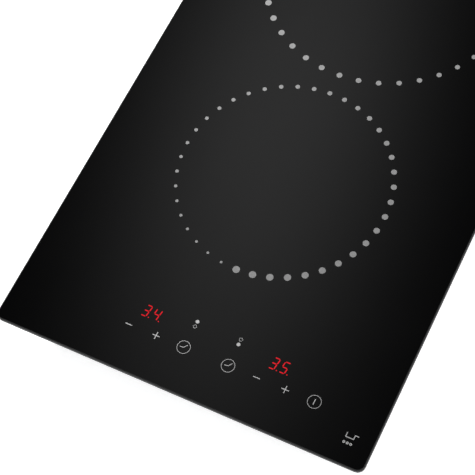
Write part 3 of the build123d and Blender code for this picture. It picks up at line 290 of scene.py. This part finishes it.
def moulded_plastic(graph, color):
    """Moulded plastic: an eroded grain, slight flow marks and worn, duller patches."""
    grain = graph.cells(0.45)
    flow = graph.noise(18.0, 4.0, (1, 1, 3))
    tone = graph.blend(graph.remap(flow, 0.3, 0.7), shaded(color, 0.88), shaded(color, 1.12))
    roughness = graph.remap(flow, 0.3, 0.7, 0.44, 0.58)
    finish(graph, tone, roughness, graph.bump(grain, 0.02))


def gloss_case(graph, color):
    """Dipped or potted cases: smooth, slightly wavy, with a clear sheen."""
    waves = graph.noise(5.0, 2.0)
    tone = graph.blend(graph.remap(waves, 0.3, 0.7), shaded(color, 0.92), shaded(color, 1.08))
    finish(graph, tone, graph.remap(waves, 0.3, 0.7, 0.2, 0.3), graph.bump(waves, 0.08))


def sintered(graph, color):
    """Ferrite or ceramic: matt, with a granular surface and small pits, which are drawn darker as
    painted shade.
    """
    grains = graph.cells(0.3)
    pits = graph.remap(graph.noise(1.1, 4.0), 0.28, 0.4)
    tone = graph.blend(pits, shaded(color, 0.6), shaded(color, 1.15))
    height = graph.math("MULTIPLY_ADD", grains, 0.3, pits)
    finish(graph, tone, graph.remap(grains, 0.0, 0.6, 0.62, 0.8), graph.bump(height, 0.04))


def stranded_wire(graph, color):
    """Twisted enamelled strands, drawn as slanting bands round each zone's centre, with painted
    shade darkening the gaps between the strands.
    """
    place = graph.split(graph.place())
    front, rear = (zone_centre(zone).y / MM for zone in zones)
    is_rear = graph.math("GREATER_THAN", place["Y"], (front + rear) / 2)
    centre = graph.remap(is_rear, 0.0, 1.0, front, rear)
    from_centre = graph.math("SUBTRACT", place["Y"], centre)
    turn = graph.math("ARCTAN2", from_centre, place["X"])
    square = graph.math("POWER", place["X"], 2.0)
    radius = graph.math("SQRT", graph.math("MULTIPLY_ADD", from_centre, from_centre, square))
    arc = graph.math("MULTIPLY", turn, STRAND_TWIST)
    lift = graph.math("MULTIPLY", graph.math("ADD", radius, place["Z"]), STRAND_SLANT)
    bands = graph.math("SINE", graph.math("ADD", arc, lift))
    strands = graph.remap(bands, -1.0, 1.0)
    tone = graph.blend(strands, shaded(color, 0.55), shaded(color, 1.1))
    age = graph.remap(graph.noise(9.0), 0.4, 0.8, 0.0, 0.5)
    aged = graph.blend(age, tone, shaded(color, 0.5))
    roughness = graph.remap(strands, 0.0, 1.0, 0.5, 0.3)
    finish(graph, aged, roughness, graph.bump(strands, 0.2), Metallic=0.9)


def pressed_felt(graph, color):
    """Pressed fibre: fine tangled threads with paler knots."""
    threads = graph.noise(0.35, 6.0, (3, 1, 1))
    crossing = graph.noise(0.35, 6.0, (1, 3, 1))
    tangle = graph.math("MAXIMUM", threads, crossing)
    tone = graph.blend(graph.remap(tangle, 0.45, 0.75), shaded(color, 0.72), shaded(color, 1.05))
    finish(graph, tone, 0.92, graph.bump(tangle, 0.25), Sheen_Weight=0.3)


def braided_sleeve(graph, color):
    """Woven glass-fibre sleeve: two sets of threads that cross along the lead."""
    place = graph.split(graph.place())
    along = graph.math("ADD", place["Z"], place["X"])
    first = graph.math("SINE", graph.math("MULTIPLY_ADD", place["Y"], BRAID_SLANT, along))
    second = graph.math("SINE", graph.math("MULTIPLY_ADD", place["Y"], -BRAID_SLANT, along))
    weave = graph.remap(graph.math("MULTIPLY", first, second), -1.0, 1.0)
    tone = graph.blend(weave, shaded(color, 0.7), shaded(color, 1.05))
    finish(graph, tone, 0.85, graph.bump(weave, 0.12), Sheen_Weight=0.2)


def flat_ribbon(graph, color):
    """Ribbon cable: a groove between each pair of its wires, darkened by painted shade."""
    phase = graph.math("MULTIPLY", graph.split(graph.place())["X"], pi / RIBBON_PITCH)
    ridges = graph.math("ABSOLUTE", graph.math("SINE", phase))
    tone = graph.blend(graph.remap(ridges, 0.0, 0.5), shaded(color, 0.6), color)
    wear = graph.remap(graph.noise(3.0), 0.4, 0.8, 0.0, 0.3)
    worn = graph.blend(wear, tone, shaded(color, 0.8))
    finish(graph, worn, 0.5, graph.bump(ridges, 0.25))


def clear_plastic(graph, color):
    """A light pipe: clear, with a faint haze."""
    haze = graph.noise(1.5, 3.0)
    tone = graph.blend(haze, shaded(color, 0.9), color)
    roughness = graph.remap(haze, 0.3, 0.7, 0.08, 0.2)
    finish(graph, tone, roughness, graph.bump(haze, 0.02), Transmission_Weight=0.8, IOR=1.49)


def zone_centre(zone):
    """The middle of the zone's winding, seen from above."""
    low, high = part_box(f"{zone}_insulation_sheet")
    return (Vector(low) + Vector(high)) / 2


finishes = {
    "black_glass": (polished_glass, (0.0012, 0.0012, 0.0013)),
    "grey_ink": (fired_ink, (0.285, 0.285, 0.285)),
    "white_ink": (fired_ink, (0.55, 0.55, 0.55)),
    "red_light": (lit_digits, (0.72, 0.009, 0.018)),
    "seal_foam": (closed_foam, (0.02, 0.02, 0.022)),
    "adhesive": (soft_rubber, (0.03, 0.03, 0.03)),
    "zinc_steel": (galvanized_sheet, (0.4, 0.41, 0.43)),
    "screw_steel": (drawn_metal, (0.68, 0.68, 0.65)),
    "spring_steel": (drawn_metal, (0.58, 0.58, 0.6)),
    "black_rubber": (soft_rubber, (0.025, 0.025, 0.026)),
    "aluminium": (drawn_metal, (0.76, 0.77, 0.79)),
    "board_green": (circuit_board, (0.02, 0.13, 0.05)),
    "device_black": (moulded_plastic, (0.022, 0.022, 0.023)),
    "capacitor_red": (gloss_case, (0.36, 0.05, 0.03)),
    "capacitor_yellow": (gloss_case, (0.68, 0.46, 0.06)),
    "copper": (stranded_wire, (0.7, 0.31, 0.14)),
    "relay_blue": (moulded_plastic, (0.015, 0.06, 0.26)),
    "fuse_ceramic": (sintered, (0.78, 0.77, 0.72)),
    "ferrite": (sintered, (0.055, 0.055, 0.06)),
    "terminal_plastic": (moulded_plastic, (0.42, 0.43, 0.43)),
    "brass": (drawn_metal, (0.75, 0.56, 0.26)),
    "black_plastic": (moulded_plastic, (0.025, 0.025, 0.027)),
    "fan_plastic": (moulded_plastic, (0.05, 0.05, 0.055)),
    "white_plastic": (moulded_plastic, (0.7, 0.68, 0.62)),
    "light_pipe": (clear_plastic, (0.85, 0.85, 0.85)),
    "ribbon_grey": (flat_ribbon, (0.5, 0.5, 0.51)),
    "insulation_felt": (pressed_felt, (0.8, 0.77, 0.68)),
    "sensor_silicone": (soft_rubber, (0.4, 0.06, 0.04)),
    "lead_sleeve": (braided_sleeve, (0.76, 0.73, 0.64)),
}

materials = {}
for slot, (draw_finish, color) in finishes.items():
    material = bpy.data.materials.new(slot)
    material.use_nodes = True
    draw_finish(Graph(material.node_tree), color)
    materials[slot] = material

slot_of_node = {part["node"]: part["material_slot"] for part in frame["record"]["subparts"]}
for node, piece in frame["nodes"].items():
    if not piece.material_slots:
        piece.data.materials.append(None)
    for material_slot in piece.material_slots:
        material_slot.material = materials[slot_of_node[node]]


# Springs and leads, drawn at rest; on the real hob they change shape when a coil is pressed down

SPRING_COUNT = 3
SPRING_SPREAD = 1.5          # front to back span of the springs' middles, in radii of their circle
SPRING_RADIUS = 5.0 * MM
SPRING_WIRE_RADIUS = 0.5 * MM
SPRING_TURNS = 4.5
SPRING_FLAT_TURNS = 0.75     # at each end
SPRING_STEPS = 40            # points in each turn
SPRING_SIDES = 10
LEAD_RADIUS = 2.0 * MM
LEAD_BEND = 5.0 * MM
LEAD_SIDES = 20
SENSOR_LEAD_RADIUS = 1.0 * MM
BEND_STEPS = 10


def make_tube(name, points, radius, slot, sides):
    """A mesh tube along the points, closed at both ends."""
    mesh = bpy.data.meshes.new(name)
    tube = bmesh.new()
    normal = None
    rings = []
    for index, point in enumerate(points):
        before = points[max(index - 1, 0)]
        after = points[min(index + 1, len(points) - 1)]
        along = (after - before).normalized()
        if normal is None:
            normal = along.orthogonal().normalized()
        normal = (normal - along * normal.dot(along)).normalized()
        across = along.cross(normal)
        ring = []
        for side in range(sides):
            angle = 2 * pi * side / sides
            offset = (normal * cos(angle) + across * sin(angle)) * radius
            ring.append(tube.verts.new(point + offset))
        rings.append(ring)
    for ring, following in zip(rings, rings[1:]):
        for side in range(sides):
            after = (side + 1) % sides
            corners = (ring[side], ring[after], following[after], following[side])
            tube.faces.new(corners).smooth = True
    tube.faces.new(reversed(rings[0]))
    tube.faces.new(rings[-1])
    tube.to_mesh(mesh)
    tube.free()
    mesh.materials.append(materials[slot])
    piece = bpy.data.objects.new(name, mesh)
    scene.collection.objects.link(piece)
    return piece


def join_pieces(name, parts):
    """Joins the parts into the first of them, which takes the given name."""
    joined = bmesh.new()
    for part in parts:
        joined.from_mesh(part.data)
    joined.to_mesh(parts[0].data)
    joined.free()
    for part in parts[1:]:
        bpy.data.objects.remove(part)
    parts[0].name = name
    return parts[0]


def rounded_route(corners, bend_radius):
    """Points along straight runs joined by arcs, from the corners of the route."""
    points = [corners[0]]
    for before, corner, after in zip(corners, corners[1:], corners[2:]):
        back = (before - corner).normalized()
        on = (after - corner).normalized()
        half = back.angle(on) / 2
        reach = bend_radius / (sin(half) / cos(half))
        middle = corner + (back + on).normalized() * (bend_radius / sin(half))
        first = corner + back * reach
        last = corner + on * reach
        for step in range(BEND_STEPS + 1):
            spoke = (first - middle).slerp(last - middle, step / BEND_STEPS)
            points.append(middle + spoke * bend_radius)
    points.append(corners[-1])
    return points


def spring_route(seat, low, high):
    """A helix whose wire lies flat for the end turns and climbs evenly between them."""
    climb_turns = SPRING_TURNS - 2 * SPRING_FLAT_TURNS
    circle = SPRING_RADIUS - SPRING_WIRE_RADIUS
    points = []
    for step in range(int(SPRING_TURNS * SPRING_STEPS) + 1):
        turn = step / SPRING_STEPS
        climbed = min(max((turn - SPRING_FLAT_TURNS) / climb_turns, 0.0), 1.0)
        x = seat.x + circle * cos(2 * pi * turn)
        y = seat.y + circle * sin(2 * pi * turn)
        points.append(Vector((x, y, low + (high - low) * climbed)))
    return points


def add_springs(zone):
    """Three coil springs, which stand on the carrier under the coil, drawn at one fixed height."""
    centre = zone_centre(zone)
    low, high = (Vector(corner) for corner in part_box(f"{zone}_coil_springs"))
    seat_circle = (high.y - low.y - 2 * SPRING_RADIUS) / SPRING_SPREAD
    wire_low = low.z + SPRING_WIRE_RADIUS
    wire_high = high.z - SPRING_WIRE_RADIUS
    springs = []
    for index in range(SPRING_COUNT):
        angle = pi / 2 + 2 * pi * index / SPRING_COUNT
        seat = centre + Vector((cos(angle), sin(angle), 0)) * seat_circle
        route = spring_route(seat, wire_low, wire_high)
        name = f"{zone}_spring_{index}"
        springs.append(make_tube(name, route, SPRING_WIRE_RADIUS, "spring_steel", SPRING_SIDES))
    springs = join_pieces(f"{zone}_spring_set", springs)
    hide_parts(f"{zone}_coil_springs")
    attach(springs, "root")
    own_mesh(springs)


def add_coil_leads(zone):
    """Two sleeved leads, which rise from the power board and turn into the winding."""
    low, high = (Vector(corner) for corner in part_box(f"{zone}_coil_leads"))
    top = high.z - LEAD_RADIUS
    drop_x = high.x - LEAD_RADIUS
    leads = []
    for y in (low.y + LEAD_RADIUS, high.y - LEAD_RADIUS):
        corners = [Vector((drop_x, y, low.z)), Vector((drop_x, y, top)), Vector((low.x, y, top))]
        route = rounded_route(corners, LEAD_BEND)
        leads.append(make_tube(f"{zone}_lead", route, LEAD_RADIUS, "lead_sleeve", LEAD_SIDES))
    leads = join_pieces(f"{zone}_lead_pair", leads)
    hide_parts(f"{zone}_coil_leads")
    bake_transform(leads)


def add_sensor_wire(zone):
    """The heat sensor's lead, which drops from the sensor and slants aside to the power board."""
    centre = zone_centre(zone)
    low, high = (Vector(corner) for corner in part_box(f"{zone}_sensor_lead"))
    drop = (high.z - low.z) / 3
    side_x = high.x - SENSOR_LEAD_RADIUS
    corners = [Vector((centre.x, centre.y, high.z)), Vector((centre.x, centre.y, high.z - drop))]
    corners += [Vector((side_x, centre.y, low.z + drop)), Vector((side_x, centre.y, low.z))]
    route = rounded_route(corners, drop)
    name = f"{zone}_sensor_wire"
    wire = make_tube(name, route, SENSOR_LEAD_RADIUS, "lead_sleeve", LEAD_SIDES)
    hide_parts(f"{zone}_sensor_lead")
    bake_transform(wire)


for zone in zones:
    add_springs(zone)
    add_coil_leads(zone)
    add_sensor_wire(zone)


# Floor: white paper that glows a little, as on a light table, and more far from the hob

FLOOR_HALF = 30.0       # metres
GLOW_NEAR = 700.0       # millimetres from the middle, up to which the glow is at its lowest
GLOW_FAR = 2500.0       # millimetres from the middle, from which it is at its highest
GLOW_LOWEST = 0.62
GLOW_HIGHEST = 1.05

floor_mesh = bpy.data.meshes.new("floor")
floor_shape = bmesh.new()
for x, y in ((-1, -1), (1, -1), (1, 1), (-1, 1)):
    floor_shape.verts.new((x * FLOOR_HALF, y * FLOOR_HALF, cad_low.z))
floor_shape.faces.new(floor_shape.verts)
floor_shape.to_mesh(floor_mesh)
floor_shape.free()
floor = bpy.data.objects.new("floor", floor_mesh)
scene.collection.objects.link(floor)

floor_material = bpy.data.materials.new("floor")
floor_material.use_nodes = True
graph = Graph(floor_material.node_tree)
paper = graph.blend(graph.noise(30.0), (0.84, 0.84, 0.84), (0.88, 0.88, 0.88))
distance = graph.length(graph.place())
glow = graph.remap(distance, GLOW_NEAR, GLOW_FAR, GLOW_LOWEST, GLOW_HIGHEST)
light_values = {"Emission_Color": WHITE, "Emission_Strength": glow, "Specular_IOR_Level": 0.0}
finish(graph, paper, 0.9, **light_values)
floor_mesh.materials.append(floor_material)


# Lights, in metres and watts


def add_light(name, place, width, height, power, mirrored=True):
    """A soft box that faces the hob. Neither the camera nor, unless mirrored, the glass sees it."""
    data = bpy.data.lights.new(name, "AREA")
    data.shape = "RECTANGLE"
    data.size = width
    data.size_y = height
    data.energy = power
    light = bpy.data.objects.new(name, data)
    light.location = place
    light.rotation_euler = (-Vector(place)).to_track_quat("-Z", "Y").to_euler()
    light.visible_camera = False
    light.visible_glossy = mirrored
    scene.collection.objects.link(light)


add_light("key", (1.0, -0.8, 2.0), 1.6, 1.6, 32.0)
add_light("fill", (-0.8, 0.5, 0.7), 0.5, 0.5, 13.0, mirrored=False)
add_light("front_strip", (-0.6, -2.0, 0.56), 1.2, 0.5, 2.6)
add_light("right_strip", (2.0, 0.55, 0.6), 0.5, 1.2, 1.6)


# World: a white horizon under a dark ceiling, with one large oval soft box overhead, which the
# glass mirrors. Directions are given as their X and Y for each unit of height.

HORIZON_LEVEL = 1.05
CEILING_LEVEL = 0.008
SKY_STOPS = ((0.14, HORIZON_LEVEL), (0.23, 0.3), (0.42, 0.12), (0.72, CEILING_LEVEL))
BOX_CENTRE = (-0.3403, 0.533)
BOX_SIZE = (0.0718, 0.1933)
BOX_TURN = 0.1972       # radians
BOX_EDGE = 1.119        # 1 fades like a bell curve, more has a sharper edge
BOX_LEVEL = 0.6126
LEAST_HEIGHT = 0.001    # keeps the division by the height away from zero


def grey(level):
    return (level, level, level, 1.0)


world = bpy.data.worlds.new("studio")
world.use_nodes = True
scene.world = world
graph = Graph(world.node_tree)
direction = graph.node("ShaderNodeTexCoord").outputs["Generated"]
axes = graph.split(direction)
height = graph.math("MAXIMUM", axes["Z"], LEAST_HEIGHT)
ramp = graph.node("ShaderNodeValToRGB", {0: height})
stops = ramp.color_ramp.elements
stops[0].color = grey(HORIZON_LEVEL)
stops[1].color = grey(CEILING_LEVEL)
for position, level in SKY_STOPS:
    stops.new(position).color = grey(level)
across = graph.math("SUBTRACT", graph.math("DIVIDE", axes["X"], height), BOX_CENTRE[0])
along = graph.math("SUBTRACT", graph.math("DIVIDE", axes["Y"], height), BOX_CENTRE[1])
squares = []
box_axes = ((across, along, 1), (along, across, -1))
for (first, second, side), size in zip(box_axes, BOX_SIZE):
    moved = graph.math("MULTIPLY", second, side * sin(BOX_TURN))
    turned = graph.math("MULTIPLY_ADD", first, cos(BOX_TURN), moved)
    share = graph.math("ABSOLUTE", graph.math("DIVIDE", turned, size))
    squares.append(graph.math("POWER", share, 2.0))
spread = graph.math("POWER", graph.math("ADD", *squares), BOX_EDGE)
oval = graph.math("EXPONENT", graph.math("MULTIPLY", spread, -0.5))
strength = graph.math("MULTIPLY_ADD", oval, BOX_LEVEL, ramp.outputs["Color"])
background = graph.node("ShaderNodeBackground", {"Color": WHITE, "Strength": strength})
world_output = graph.node("ShaderNodeOutputWorld")
graph.put(world_output.inputs["Surface"], background.outputs[0])

scene.view_settings.view_transform = "Standard"
